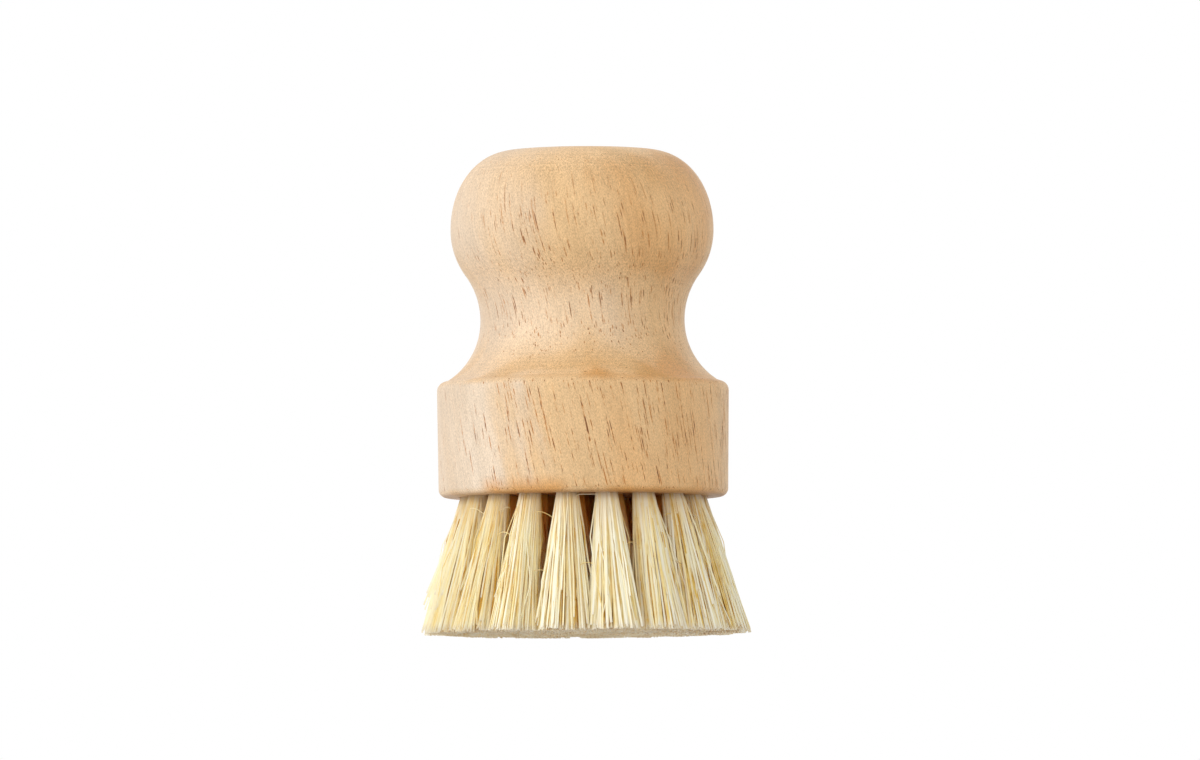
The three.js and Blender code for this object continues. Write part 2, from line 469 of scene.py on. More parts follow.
@dataclass(frozen=True)
class TurnedWood:
    """Pale, close-grained hardwood, turned, sanded and waxed. Lengths are millimetres."""

    # Colours, from the pale left side to the amber right side, and of the marks. The pale left side is partly
    # the wood's tone and partly painted sheen; the waist and base highlights are painted highlights, and the
    # rim shade is painted shade.
    pale: Colour = paint(216, 191, 162)
    honey: Colour = paint(236, 196, 144)
    amber: Colour = paint(240, 192, 134)
    # The tones of the painted highlights on the waist and on the base.
    painted_waist_highlight: Colour = paint(246, 217, 181)
    painted_base_highlight: Colour = paint(232, 212, 188)
    end_grain: Colour = paint(231, 192, 143)
    end_amber: Colour = paint(206, 146, 74)
    late_wood: Colour = paint(208, 163, 100)
    orange: Colour = paint(218, 154, 76)
    rim_shade: Colour = paint(128, 78, 40)
    pit: Colour = paint(108, 56, 20)
    vessel: Colour = paint(188, 112, 28)

    # How the grain runs: it twists with height, swells with the knob and wanders.
    grain_twist: float = 0.0095
    twist_level: float = 45.0
    swell: float = 0.16
    up_to_knob: Ramp = Ramp(54.0, 69.5)
    over_knob: Ramp = Ramp(69.5, 83.1)
    wander: Texture = Texture((0.06, 0.06, 0.03))
    wander_reach: Triple = (2.0, 2.0, 0.0)
    ripple: Texture = Texture((0.5, 0.5, 0.22))
    ripple_reach: Triple = (0.12, 0.12, 0.0)
    end_shows: Ramp = Ramp(0.12, 0.8)

    # Colour zones, by the distance to the side of a slanted line through the heart. Towards the left they
    # carry painted sheen, and the waist and the base get painted highlights.
    heart_depth: float = 25.0
    heart_place: float = 2.0
    mottle_stretch: Triple = (1.0, 1.0, 0.3)
    mottle_scale: float = 0.11
    mottle_reach: float = 20.0
    knob_shift: Ramp = Ramp(58.0, 68.0, 0.0, 6.0)
    to_honey: Ramp = Ramp(-30.0, 0.0)
    to_amber: Ramp = Ramp(0.0, 16.0)
    # Painted highlight: a pale band across the front of the waist, left of the middle.
    waist_highlight_in: Ramp = Ramp(-32.0, -14.0)
    waist_highlight_out: Ramp = Ramp(-6.0, 8.0, 1.0, 0.0)
    waist_highlight_level: float = 53.0
    waist_highlight_height: Ramp = Ramp(2.0, 11.0, 0.75, 0.0)
    waist_highlight_on_left: Ramp = Ramp(2.0, 13.0, 1.0, 0.0)
    # Painted highlight: a paler zone on the base, left of the middle, fading above the shoulder.
    base_highlight_in: Ramp = Ramp(-36.0, -26.0, 0.3, 1.0)
    base_highlight_out: Ramp = Ramp(-20.0, -6.0, 1.0, 0.0)
    base_highlight_low: Ramp = Ramp(41.0, 46.0, 0.85, 0.15)
    deep_in: Ramp = Ramp(6.0, 16.0)
    deep_on_knob: Ramp = Ramp(58.0, 68.0, 0.0, 0.25)
    end_to_amber: Ramp = Ramp(-3.0, 10.0)
    end_share: Ramp = Ramp(-24.0, -8.0, 0.4, 0.65)

    # Year rings.
    ring_period: float = 9.0
    ring_centre: Triple = (12.0, 90.8, 0.0)
    ring_bend: Texture = Texture((0.07, 0.07, 0.02))
    ring_bend_share: float = 0.5
    ring_start: float = 0.25
    late_part: Ramp = Ramp(0.1, 0.9)
    late_on_end: Ramp = Ramp(48.0, 60.0, 0.29, 0.2)
    late_share: float = 0.06

    # The stained low edge, and the painted shade on the rim just above the tuft face.
    stain_patches: Texture = Texture((0.11, 0.11, 0.02), 2.0)
    stain_shift: Triple = (70.0, 0.0, 0.0)
    stain_place: float = -9.7
    stain_in_front: Ramp = Ramp(5.0, 10.0, 0.19, 0.0)
    stain_height: Ramp = Ramp(0.4, 3.6, 0.75, 0.0)
    stained: Ramp = Ramp(0.44, 0.78)
    rim_shade_height: Ramp = Ramp(0.05, 0.6, 0.5, 0.0)

    # Fine changes of tone. The end contrasts are added where the surface cuts across the grain.
    fibre: Texture = Texture((2.6, 2.6, 0.14), 4.0, 0.65)
    cloud: Texture = Texture((0.24, 0.24, 0.08), 2.0)
    speck: Texture = Texture((6.0, 6.0, 3.0), 1.0, 0.6)
    lathe: Texture = Texture((1.0, 1.0, 2.6), 3.0, 0.7)
    fibre_contrast: float = 0.42
    cloud_contrast: float = 0.2
    speck_contrast: float = 0.8
    speck_end_contrast: float = 0.45
    lathe_contrast: float = 0.06
    lathe_end_contrast: float = 0.5

    # Open vessels: their sizes, where they are fewer or fainter, and how they break into dashes and pits.
    long_vessel: Vessel = Vessel(0.39, 0.12, 12.0)
    short_vessel: Vessel = Vessel(0.39, 0.12, 5.0)
    fleck: Vessel = Vessel(0.3, 0.07, 1.5)
    short_shift: Triple = (31.0, 17.0, 5.0)
    fleck_shift: Triple = (11.0, 43.0, 9.0)
    fleck_often: float = 0.5
    fleck_share: Ramp = Ramp(68.0, 77.0, 0.36, 0.8)
    fewer_across: Ramp = Ramp(0.25, 0.75, 1.0, 0.3)
    fewer_on_left: Ramp = Ramp(-20.0, -7.0, 0.25, 1.0)
    flare_level: float = 47.5
    fewer_on_flare: Ramp = Ramp(2.0, 6.0, 0.4, 1.0)
    fewer_on_crown: Ramp = Ramp(70.0, 76.0, 1.0, 0.3)
    fainter_above_base: Ramp = Ramp(44.0, 50.0, 1.0, 0.84)
    fainter_on_knob: Ramp = Ramp(66.0, 78.0, 1.0, 0.4)
    least_width: float = 0.55
    width_range: float = 0.6
    soft_edge: float = 0.6
    dashes: Texture = Texture((2.2, 2.2, 0.7), 2.0, 0.6)
    dash: Ramp = Ramp(0.38, 0.56, 0.1, 1.0)
    dark_dash: Ramp = Ramp(0.5, 0.6)
    pitted: Ramp = Ramp(0.2, 0.6)
    cut_through: Ramp = Ramp(0.2, 0.5, 0.0, 0.4)
    line_share: float = 0.95
    pit_share: float = 0.9

    # Relief and gloss.
    pore_relief: float = 0.25
    fibre_relief: float = 0.3
    lathe_relief: float = 0.2
    relief_depth: float = 0.1
    relief_strength: float = 0.6
    roughness: float = 0.37
    fibre_roughness: float = 0.14
    pore_roughness: float = 0.2
    gloss: float = 0.4

    def grain_place(self, graph: NodeGraph, place: Flow, level: Flow) -> Flow:
        """Turns a place into coordinates with Z along the grain.

        Args:
            graph: The wood's nodes.
            place: The place in millimetres.
            level: The place's height.

        Returns:
            The grain coordinates in millimetres.
        """
        angle = (level - self.twist_level) * self.grain_twist
        turned = graph.result(
            "ShaderNodeVectorRotate", {"Vector": place, "Angle": angle}, rotation_type="Z_AXIS"
        )
        over = graph.span(level, self.over_knob)
        narrow = 1.0 - graph.span(level, self.up_to_knob) * (1.0 - over * over) * self.swell
        turned = turned * graph.vector(narrow, narrow, 1.0)
        wander = graph.noise(turned, self.wander, "Color") * self.wander_reach
        ripple = graph.noise(turned, self.ripple, "Color") * self.ripple_reach
        return turned + wander + ripple

    def located(self, graph: NodeGraph) -> WoodPlace:
        """Finds where each point of the surface lies.

        Args:
            graph: The wood's nodes.

        Returns:
            The place, its grain coordinates and how squarely the surface cuts the grain.
        """
        place = graph.place()
        across, depth, level = graph.parts(place)
        _, _, upwards = graph.parts(graph.result("ShaderNodeNewGeometry", output="Normal"))
        crossing = abs(upwards)
        grain = self.grain_place(graph, place, level)
        return WoodPlace(across, depth, level, grain, crossing, graph.span(crossing, self.end_shows))

    def zones(self, graph: NodeGraph, at: WoodPlace, drift: NodeGroup) -> Flow:
        """Gives the wood's colour zones, with painted sheen on the pale left side and painted highlights on
        the waist and the base.

        Args:
            graph: The wood's nodes.
            at: Where the point lies.
            drift: The shared slow change of tone.

        Returns:
            The colour.
        """
        mottle = graph.drift(drift, at.grain * self.mottle_stretch, self.mottle_scale, self.mottle_reach)
        inwards = self.heart_depth + self.heart_place - abs(at.depth - self.heart_place)
        side = at.across - inwards + mottle + graph.span(at.level, self.knob_shift)
        # Painted sheen: the pale tone on the left is the wood's tone with the lit side's sheen painted over
        # it.
        colour = graph.blend(graph.span(side, self.to_honey), self.pale, self.honey)
        colour = graph.blend(graph.span(side, self.to_amber), colour, self.amber)
        # Painted highlight on the waist.
        waist_highlight = graph.span(side, self.waist_highlight_in) * graph.span(side, self.waist_highlight_out)
        waist_highlight = waist_highlight * graph.span(abs(at.level - self.waist_highlight_level), self.waist_highlight_height)
        waist_highlight = waist_highlight * graph.span(at.across, self.waist_highlight_on_left)
        colour = graph.blend(waist_highlight, colour, self.painted_waist_highlight)
        # Painted highlight on the base.
        base_highlight = graph.span(side, self.base_highlight_in) * graph.span(side, self.base_highlight_out)
        base_highlight = base_highlight * graph.span(at.level, self.base_highlight_low)
        colour = graph.blend(base_highlight, colour, self.painted_base_highlight)
        deep = graph.span(side, self.deep_in) * graph.span(at.level, self.deep_on_knob)
        colour = graph.blend(deep, colour, self.end_amber)
        # Less of the end grain's colour shows on the left, so the painted sheen of the pale side reaches the
        # crown too.
        cut_across = graph.blend(graph.span(side, self.end_to_amber), self.end_grain, self.end_amber)
        return graph.blend(at.end * graph.span(side, self.end_share), colour, cut_across)

    def year_rings(self, graph: NodeGraph, at: WoodPlace, colour: Flow) -> Flow:
        """Adds the year rings, which show best where the surface cuts across the grain.

        Args:
            graph: The wood's nodes.
            at: Where the point lies.
            colour: The colour so far.

        Returns:
            The colour.
        """
        spoke = (at.grain - self.ring_centre) * LEVEL_ONLY
        bend = graph.noise(at.grain, self.ring_bend) * self.ring_bend_share
        turns = bend + graph.length(spoke) / self.ring_period - self.ring_start
        late = graph.span(graph.math("SINE", turns * math.tau), self.late_part)
        strength = at.end * graph.span(at.level, self.late_on_end) + self.late_share
        return graph.blend(late * strength, colour, self.late_wood)

    def low_edge(self, graph: NodeGraph, at: WoodPlace, colour: Flow, face_level: float) -> Flow:
        """Adds the orange stain, and painted shade on the rim just above the tuft face.

        Args:
            graph: The wood's nodes.
            at: Where the point lies.
            colour: The colour so far.
            face_level: Height of the tuft face, in millimetres.

        Returns:
            The colour.
        """
        height = at.level - face_level
        patches = graph.noise(at.grain + self.stain_shift, self.stain_patches)
        patches = patches + graph.span(abs(at.across - self.stain_place), self.stain_in_front)
        stain = graph.span(height, self.stain_height) * graph.span(patches, self.stained)
        colour = graph.blend(stain, colour, self.orange)
        # Painted shade: dark brown on the lowest half millimetre and the underside, where the tufts shade the
        # wood.
        return graph.blend(graph.span(height, self.rim_shade_height), colour, self.rim_shade)

    def toned(self, graph: NodeGraph, at: WoodPlace, colour: Flow, fibre: Flow, lathe: Flow) -> Flow:
        """Adds the fine changes of tone.

        Args:
            graph: The wood's nodes.
            at: Where the point lies.
            colour: The colour so far.
            fibre: The noise of the wood's fibre.
            lathe: The noise of the marks that the lathe left.

        Returns:
            The colour.
        """
        cloud = graph.noise(at.grain, self.cloud)
        speck = graph.noise(at.grain, self.speck)
        shade = (fibre - NOISE_MIDDLE) * self.fibre_contrast + 1.0
        shade = shade + (cloud - NOISE_MIDDLE) * self.cloud_contrast
        shade = shade + (speck - NOISE_MIDDLE) * (at.end * self.speck_end_contrast + self.speck_contrast)
        shade = shade + (lathe - NOISE_MIDDLE) * (at.end * self.lathe_end_contrast + self.lathe_contrast)
        return graph.blend(1.0, colour, graph.vector(shade, shade, shade), "MULTIPLY")

    def pores(self, graph: NodeGraph, grain: Flow, vessel: Vessel, share: Feed) -> tuple[Flow, Flow]:
        """Draws vessels: short thin tubes along the grain that the turned surface cuts open.

        Args:
            graph: The wood's nodes.
            grain: Coordinates in millimetres with Z along the grain.
            vessel: The vessels' sizes.
            share: How many of the vessels are open, from 0 to 1.

        Returns:
            A mask for the vessel's broken line, up to 1, and one for the dark pits in it.
        """
        reach = vessel.radius / vessel.spacing
        cell = (1 / vessel.spacing, 1 / vessel.spacing, 2 * reach / vessel.length)
        cells = graph.add("ShaderNodeTexVoronoi", {"Vector": grain * cell, "Scale": 1.0, "Randomness": 1.0})
        order, depth, breadth = graph.parts(Flow(graph, cells.outputs["Color"]))
        width = (breadth * self.width_range + self.least_width) * reach
        edge = Ramp(width * self.soft_edge, width, 1.0, 0.0)
        line = graph.span(Flow(graph, cells.outputs["Distance"]), edge)
        line = line * graph.math("LESS_THAN", order, share)
        dashes = graph.noise(grain, self.dashes)
        pits = graph.span(dashes, self.dark_dash) * graph.span(depth, self.pitted)
        return line * graph.span(dashes, self.dash), line * pits

    def vessels(self, graph: NodeGraph, at: WoodPlace) -> tuple[Flow, Flow]:
        """Draws the long and short vessels and the flecks.

        Args:
            graph: The wood's nodes.
            at: Where the point lies.

        Returns:
            A mask for their lines and one for their pits.
        """
        often = graph.span(at.crossing, self.fewer_across) * graph.span(at.across, self.fewer_on_left)
        often = often * graph.span(abs(at.level - self.flare_level), self.fewer_on_flare)
        often = often * graph.span(at.level, self.fewer_on_crown)
        long_line, long_pits = self.pores(graph, at.grain, self.long_vessel, often)
        short_line, short_pits = self.pores(graph, at.grain + self.short_shift, self.short_vessel, often)
        flecks, _ = self.pores(graph, at.grain + self.fleck_shift, self.fleck, self.fleck_often)
        faint = graph.span(at.level, self.fainter_above_base) * graph.span(at.level, self.fainter_on_knob)
        lines = graph.larger(long_line, short_line) * faint
        pits = graph.larger(long_pits, short_pits) * faint
        pits = graph.larger(pits, lines * graph.span(at.crossing, self.cut_through))
        return graph.larger(lines, flecks * graph.span(at.level, self.fleck_share)), pits

    def build(self, drift: NodeGroup, face_level: float) -> bpy.types.Material:
        """Makes the wood's material.

        Args:
            drift: The shared slow change of tone.
            face_level: Height of the tuft face, in millimetres.

        Returns:
            The material.
        """
        material, graph = new_surface("turned_wood")
        at = self.located(graph)
        fibre = graph.noise(at.grain, self.fibre)
        lathe = graph.noise(graph.vector(z=at.level), self.lathe)
        lines, pits = self.vessels(graph, at)
        colour = self.year_rings(graph, at, self.zones(graph, at, drift))
        colour = self.low_edge(graph, at, colour, face_level)
        colour = self.toned(graph, at, colour, fibre, lathe)
        colour = graph.blend(lines * self.line_share, colour, self.vessel)
        colour = graph.blend(pits * self.pit_share, colour, self.pit)
        height = fibre * self.fibre_relief + lathe * self.lathe_relief
        height = height - graph.larger(lines, pits) * self.pore_relief
        relief = {"Strength": self.relief_strength, "Distance": self.relief_depth * MM, "Height": height}
        graph.shine({
            "Base Color": colour,
            "Roughness": fibre * self.fibre_roughness + lines * self.pore_roughness + self.roughness,
            "Normal": graph.result("ShaderNodeBump", relief),
            "Specular IOR Level": self.gloss,
        })
        return material


@dataclass(frozen=True)
class PlantFibre:
    """Dry cream plant fibre, each strand with a tone of its own, with painted shade towards the roots, inside
    the tufts and on their flanks. Lengths are millimetres.
    """

    tones: tuple[Colour, ...] = (
        paint(204, 156, 56),
        paint(236, 202, 106),
        paint(253, 239, 188),
        paint(255, 250, 224),
        paint(255, 252, 232),
    )
    stops: tuple[float, ...] = (0.0, 0.2, 0.44, 0.74, 1.0)
    root_shade: Colour = paint(250, 194, 70)
    cut_end: Colour = paint(238, 228, 210)
    deep_shade: Colour = paint(150, 92, 34)
    # Painted shade: strands on a tuft's flanks, inside and behind get the darker golden tones and more of the
    # deep shade.
    unshaded_share: float = 0.4
    tint_share: float = 0.6
    tint_middle: float = 0.55
    lit_and_shaded_on_right: Ramp = Ramp(6.0, 18.0, 0.0, 0.4)
    patch_scale: float = 0.5
    patch_amount: float = 0.22
    inner_tufts: Ramp = Ramp(14.0, 18.5, 1.0, 0.0)
    inner_root: Ramp = Ramp(0.0, 0.85, 0.9, 0.0)
    outer_root: Ramp = Ramp(0.0, 0.4, 0.14, 0.0)
    deep_root: Ramp = Ramp(0.0, 0.07, 1.0, 0.0)
    deep_behind: Ramp = Ramp(0.0, 1.0, 0.8, 0.35)
    cut_face: Ramp = Ramp(-0.9, -0.6, 0.95, 0.0)
    dry_tip: Ramp = Ramp(0.95, 1.0, 0.0, 0.6)
    roughness: float = 0.48
    tint_roughness: float = 0.15
    gloss: float = 0.3

    def toned(self, graph: NodeGraph, tone: Flow) -> Flow:
        """Gives the colour of a tone.

        Args:
            graph: The fibre's nodes.
            tone: The tone, from 0 for golden to 1 for cream.

        Returns:
            The colour.
        """
        node = graph.add("ShaderNodeValToRGB", {"Fac": tone})
        elements = node.color_ramp.elements
        elements.remove(elements[1])
        elements[0].color = self.tones[0]
        for stop, colour in zip(self.stops[1:], self.tones[1:]):
            elements.new(stop).color = colour
        return Flow(graph, node.outputs["Color"])

    def build(self, drift: NodeGroup) -> bpy.types.Material:
        """Makes the fibre's material.

        Args:
            drift: The shared slow change of tone.

        Returns:
            The material.
        """
        material, graph = new_surface("plant_fibre")
        tint, along, unshaded = (
            graph.result("ShaderNodeAttribute", output="Fac", attribute_name=mark)
            for mark in ("tint", "along", "unshaded")
        )
        place = graph.place()
        across, _, _ = graph.parts(place)
        patch = graph.drift(drift, place, self.patch_scale, self.patch_amount)
        # Painted light and shade: on the right the strands' tints spread wider, standing in for lit and
        # shaded strands there.
        mixed = (tint - self.tint_middle) * graph.span(across, self.lit_and_shaded_on_right)
        # The tone mixes each strand's own tint with painted shade for strands off the tuft's outer front.
        tone = graph.math("ADD", unshaded * self.unshaded_share + tint * self.tint_share + mixed, patch, clamp=True)
        inside = graph.span(graph.length(place * LEVEL_ONLY), self.inner_tufts)
        inside = inside * graph.span(along, self.inner_root)
        near_root = graph.larger(inside, graph.span(along, self.outer_root))
        colour = graph.blend(near_root, self.toned(graph, tone), self.root_shade, "MULTIPLY")
        deep = graph.span(along, self.deep_root) * graph.span(unshaded, self.deep_behind)
        colour = graph.blend(deep, colour, self.deep_shade, "MULTIPLY")
        _, _, upwards = graph.parts(graph.result("ShaderNodeNewGeometry", output="True Normal"))
        cut = graph.larger(graph.span(upwards, self.cut_face), graph.span(along, self.dry_tip))
        graph.shine({
            "Base Color": graph.blend(cut, colour, self.cut_end),
            "Roughness": tint * self.tint_roughness + self.roughness,
            "Specular IOR Level": self.gloss,
        })
        return material


@dataclass(frozen=True)
class DrawnWire:
    """Bright drawn steel wire with fine marks. Lengths are millimetres."""

    bright: Colour = paint(196, 196, 192)
    dull: Colour = paint(150, 150, 148)
    marks: Texture = Texture((9.0, 9.0, 0.8), 3.0)
    patch_scale: float = 1.5
    patch_amount: float = 0.5
    relief_depth: float = 0.02
    relief_strength: float = 0.3
    roughness: float = 0.22
    dull_roughness: float = 0.2

    def build(self, drift: NodeGroup) -> bpy.types.Material:
        """Makes the wire's material.

        Args:
            drift: The shared slow change of tone.

        Returns:
            The material.
        """
        material, graph = new_surface("drawn_wire")
        place = graph.place()
        marks = graph.noise(place, self.marks)
        patch = graph.drift(drift, place, self.patch_scale, self.patch_amount)
        dulled = graph.math("ADD", marks, patch, clamp=True)
        relief = {"Strength": self.relief_strength, "Distance": self.relief_depth * MM, "Height": marks}
        graph.shine({
            "Base Color": graph.blend(dulled, self.bright, self.dull),
            "Roughness": dulled * self.dull_roughness + self.roughness,
            "Normal": graph.result("ShaderNodeBump", relief),
            "Metallic": 1.0,
        })
        return material


@dataclass
class Drilling:
    """Where the tufts are set in the underside. Lengths are millimetres."""

    rings: tuple[str, ...] = ("centre", "inner", "middle", "outer")
    ring_step: float = 19.15 / 3
    tufts_per_ring: int = 6
    first_turn: float = math.radians(262)
    lean: float = 5.0
    bristle_length: float = 23.7
    hole_radius: float = 2.3
    hole_depth: float = 11.0
    hole_sides: int = 28

    def count(self, ring: int) -> int:
        """Gives the number of tufts in a ring, counted from the centre."""
        return max(1, self.tufts_per_ring * ring)

    def radius(self, ring: int) -> float:
        """Gives a ring's radius at the tuft face."""
        return self.ring_step * ring

    def lean_of(self, ring: int) -> float:
        """Gives how far a ring's tufts lean out by the time they reach the tips."""
        return self.lean * ring / (len(self.rings) - 1)

    def values(self, ring: int, face_level: float) -> dict[str, Any]:
        """Gives the hole group's inputs for one ring, in metres.

        Args:
            ring: The ring, counted from the centre.
            face_level: Height of the tuft face, in metres.

        Returns:
            Each input's name and value.
        """
        return {
            "Tuft Count": self.count(ring),
            "Ring Radius": self.radius(ring) * MM,
            "First Turn": self.first_turn,
            "Lean": self.lean_of(ring) * MM,
            "Bristle Length": self.bristle_length * MM,
            "Face Level": face_level,
            "Hole Radius": self.hole_radius * MM,
            "Hole Depth": self.hole_depth * MM,
        }

    def group(self) -> NodeGroup:
        """Builds the shape group that sets one drill on each hole of a ring.

        Returns:
            The group: its Drills are one tilted cylinder for each hole.
        """
        inputs = {name: SocketKind.FLOAT for name in self.values(0, 0.0)}
        inputs["Tuft Count"] = SocketKind.INT
        group = NodeGroup("Hole Ring", TreeKind.SHAPE, inputs, {"Drills": SocketKind.GEOMETRY})
        given = group.given
        index = group.result("GeometryNodeInputIndex")
        outwards = group.polar(1.0, index * (math.tau / given("Tuft Count")) + given("First Turn"))
        place = outwards * given("Ring Radius") + group.vector(z=given("Face Level"))
        points = group.result("GeometryNodePoints", {"Count": given("Tuft Count"), "Position": place})
        axis = group.vector(z=given("Bristle Length")) - outwards * given("Lean")
        tilt = group.result("FunctionNodeAlignRotationToVector", {"Vector": axis}, axis="Z")
        # The drill's middle is at the tuft face, so it is twice as long as the hole is deep.
        size = {
            "Vertices": self.hole_sides,
            "Radius": given("Hole Radius"),
            "Depth": given("Hole Depth") * 2.0,
        }
        drill = group.result("GeometryNodeMeshCylinder", size, fill_type="NGON")
        holes = {"Points": points, "Instance": drill, "Rotation": tilt}
        group.give("Drills", group.result("GeometryNodeInstanceOnPoints", holes))
        return group


@dataclass
class Handle:
    """The turned handle. Levels are millimetres above the tuft face."""

    drilling: Drilling
    top_flat_radius: float = 11.8
    crown_fullness: float = 2.05
    knob_radius: float = 22.55
    knob_level: float = 45.8
    waist_radius: float = 17.5
    waist_level: float = 30.3
    base_radius: float = 25.0
    base_taper: float = 0.2
    shoulder_level: float = 19.8
    shoulder_rounding: float = 1.6
    foot_rounding: float = 1.4
    sides: int = 160
    face_steps: int = 6
    foot_steps: int = 10
    wall_steps: int = 12
    shoulder_steps: int = 8
    flare_steps: int = 24
    swell_steps: int = 16
    crown_steps: int = 28
    flat_steps: int = 5
    weld: float = 0.002
    crease: float = math.radians(35)
    face_level: float = field(init=False)
    height: float = field(init=False)

    def __post_init__(self) -> None:
        """Takes the handle's place and height from the frame."""
        low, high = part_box("handle")
        self.face_level = low.z
        self.height = (high.z - low.z) / MM

    @staticmethod
    def sweep(first: float, last: float, count: int) -> list[float]:
        """Gives even steps from first to last, both included."""
        return [first + (last - first) * step / count for step in range(count + 1)]

    def base(self) -> list[ProfilePoint]:
        """Draws the foot, wall and shoulder.

        Returns:
            Points of radius and level, upwards.
        """
        foot_radius = self.base_radius - self.base_taper
        inner = foot_radius - self.foot_rounding
        face = [(radius, 0.0) for radius in self.sweep(0, inner, self.face_steps)[:-1]]
        foot = [
            (inner + self.foot_rounding * math.sin(a), self.foot_rounding * (1 - math.cos(a)))
            for a in self.sweep(0, math.pi / 2, self.foot_steps)
        ]
        low = self.foot_rounding
        high = self.shoulder_level - self.shoulder_rounding
        wall = [
            (foot_radius + self.base_taper * (level - low) / (high - low), level)
            for level in self.sweep(low, high, self.wall_steps)[1:-1]
        ]
        inset = self.base_radius - self.shoulder_rounding
        shoulder = [
            (inset + self.shoulder_rounding * math.cos(a), high + self.shoulder_rounding * math.sin(a))
            for a in self.sweep(0, math.pi / 2, self.shoulder_steps)
        ]
        return face + foot + wall + shoulder

    def neck(self) -> list[ProfilePoint]:
        """Draws the flare, the waist and the swell up to the knob.

        Returns:
            Points of radius and level, upwards.
        """
        run = self.base_radius - self.shoulder_rounding - self.waist_radius
        rise = self.waist_level - self.shoulder_level
        arc = (run * run + rise * rise) / (2 * run)
        flare = [
            (self.waist_radius + arc * (1 - math.cos(a)), self.waist_level - arc * math.sin(a))
            for a in self.sweep(math.atan2(rise, arc - run), 0, self.flare_steps)[1:]
        ]
        run = self.knob_radius - self.waist_radius
        rise = self.knob_level - self.waist_level
        arc = (run * run + rise * rise) / (4 * run)
        turn = 2 * math.atan2(run, rise)
        hollow = [
            (self.waist_radius + arc * (1 - math.cos(a)), self.waist_level + arc * math.sin(a))
            for a in self.sweep(0, turn, self.swell_steps)[1:]
        ]
        swell = [
            (self.knob_radius - arc * (1 - math.cos(a)), self.knob_level - arc * math.sin(a))
            for a in self.sweep(turn, 0, self.swell_steps)[1:]
        ]
        return flare + hollow + swell

    def crown(self) -> list[ProfilePoint]:
        """Draws the knob's rounded upper quarter and the flat top.

        Returns:
            Points of radius and level, upwards and then inwards.
        """
        rise = self.height - self.knob_level
        run = self.knob_radius - self.top_flat_radius
        rounded = []
        for a in self.sweep(0, math.pi / 2, self.crown_steps)[1:]:
            width = max(0.0, 1 - math.sin(a) ** self.crown_fullness) ** (1 / self.crown_fullness)
            rounded.append((self.top_flat_radius + run * width, self.knob_level + rise * math.sin(a)))
        flat = [(radius, self.height) for radius in self.sweep(self.top_flat_radius, 0, self.flat_steps)[1:]]
        return rounded + flat

    def profile_mesh(self) -> bpy.types.Mesh:
        """Makes the profile.

        Returns:
            A mesh of points in the XZ plane, in metres.
        """
        profile = self.base() + self.neck() + self.crown()
        points = [(radius * MM, 0.0, self.face_level + level * MM) for radius, level in profile]
        mesh = bpy.data.meshes.new("handle_profile")
        mesh.from_pydata(points, [(i, i + 1) for i in range(len(points) - 1)], [])
        return mesh

    def turned(self, group: NodeGroup, rows: int) -> Flow:
        """Turns the profile about the handle's axis.

        Args:
            group: The shape group.
            rows: The number of points in the profile.

        Returns:
            The closed solid.
        """
        sides = group.given("Sides")
        sheet = group.result("GeometryNodeMeshGrid", {"Vertices X": sides + 1.0, "Vertices Y": rows})
        index = group.result("GeometryNodeInputIndex")
        column = group.math("FLOOR", (index + HALF_STEP) / float(rows))
        taken = {
            "Geometry": group.given("Profile"),
            "Value": group.result("GeometryNodeInputPosition"),
            "Index": index - column * float(rows),
        }
        sample = group.result(
            "GeometryNodeSampleIndex", taken, "Value", data_type="FLOAT_VECTOR", domain="POINT"
        )
        radius, _, level = group.parts(sample)
        place = group.polar(radius, column * math.tau / sides) + group.vector(z=level)
        moved = group.result("GeometryNodeSetPosition", {"Geometry": sheet, "Position": place})
        return group.result("GeometryNodeMergeByDistance", {"Geometry": moved, "Distance": self.weld * MM})

    def drills(self, group: NodeGroup) -> Flow:
        """Sets a drill on every hole.

        Args:
            group: The shape group.

        Returns:
            The drills of all the rings.
        """
        hole_ring = self.drilling.group()
        joined = group.add("GeometryNodeJoinGeometry")
        for ring in range(len(self.drilling.rings)):
            values = self.drilling.values(ring, self.face_level)
            group.feed(joined.inputs[0], group.result("GeometryNodeGroup", values, node_tree=hole_ring.tree))
        return group.result("GeometryNodeRealizeInstances", {"Geometry": Flow(group, joined.outputs[0])})

    def group(self, rows: int) -> NodeGroup:
        """Builds the shape group that turns the profile and drills the holes.

        Args:
            rows: The number of points in the profile.

        Returns:
            The group.
        """
        inputs = {"Profile": SocketKind.GEOMETRY, "Sides": SocketKind.INT, "Wood": SocketKind.MATERIAL}
        group = NodeGroup("Turned Handle", TreeKind.SHAPE, inputs, {"Handle": SocketKind.GEOMETRY})
        solids = {0: self.turned(group, rows), 1: self.drills(group)}
        drilled = group.result("GeometryNodeMeshBoolean", solids, operation="DIFFERENCE", solver="EXACT")
        angle = group.result("GeometryNodeInputMeshEdgeAngle", output="Unsigned Angle")
        soft = group.result("FunctionNodeCompare", {0: angle, 1: self.crease}, operation="LESS_THAN")
        smooth = group.result("GeometryNodeSetShadeSmooth", {"Geometry": drilled}, domain="FACE")
        edges = {"Geometry": smooth, "Shade Smooth": soft}
        eased = group.result("GeometryNodeSetShadeSmooth", edges, domain="EDGE")
        whole = group.result("GeometryNodeRealizeInstances", {"Geometry": eased})
        finish = {"Geometry": whole, "Material": group.given("Wood")}
        group.give("Handle", group.result("GeometryNodeSetMaterial", finish))
        return group

    def build(self, wood: bpy.types.Material) -> bpy.types.Object:
        """Makes the handle in place of its CAD solid.

        Args:
            wood: The wood's material.

        Returns:
            The handle.
        """
        profile = self.profile_mesh()
        group = self.group(len(profile.vertices))
        piece = made_by_rule("turned_handle", group, {"Sides": self.sides, "Wood": wood}, profile)
        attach(piece, BODY)
        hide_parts("handle")
        return piece


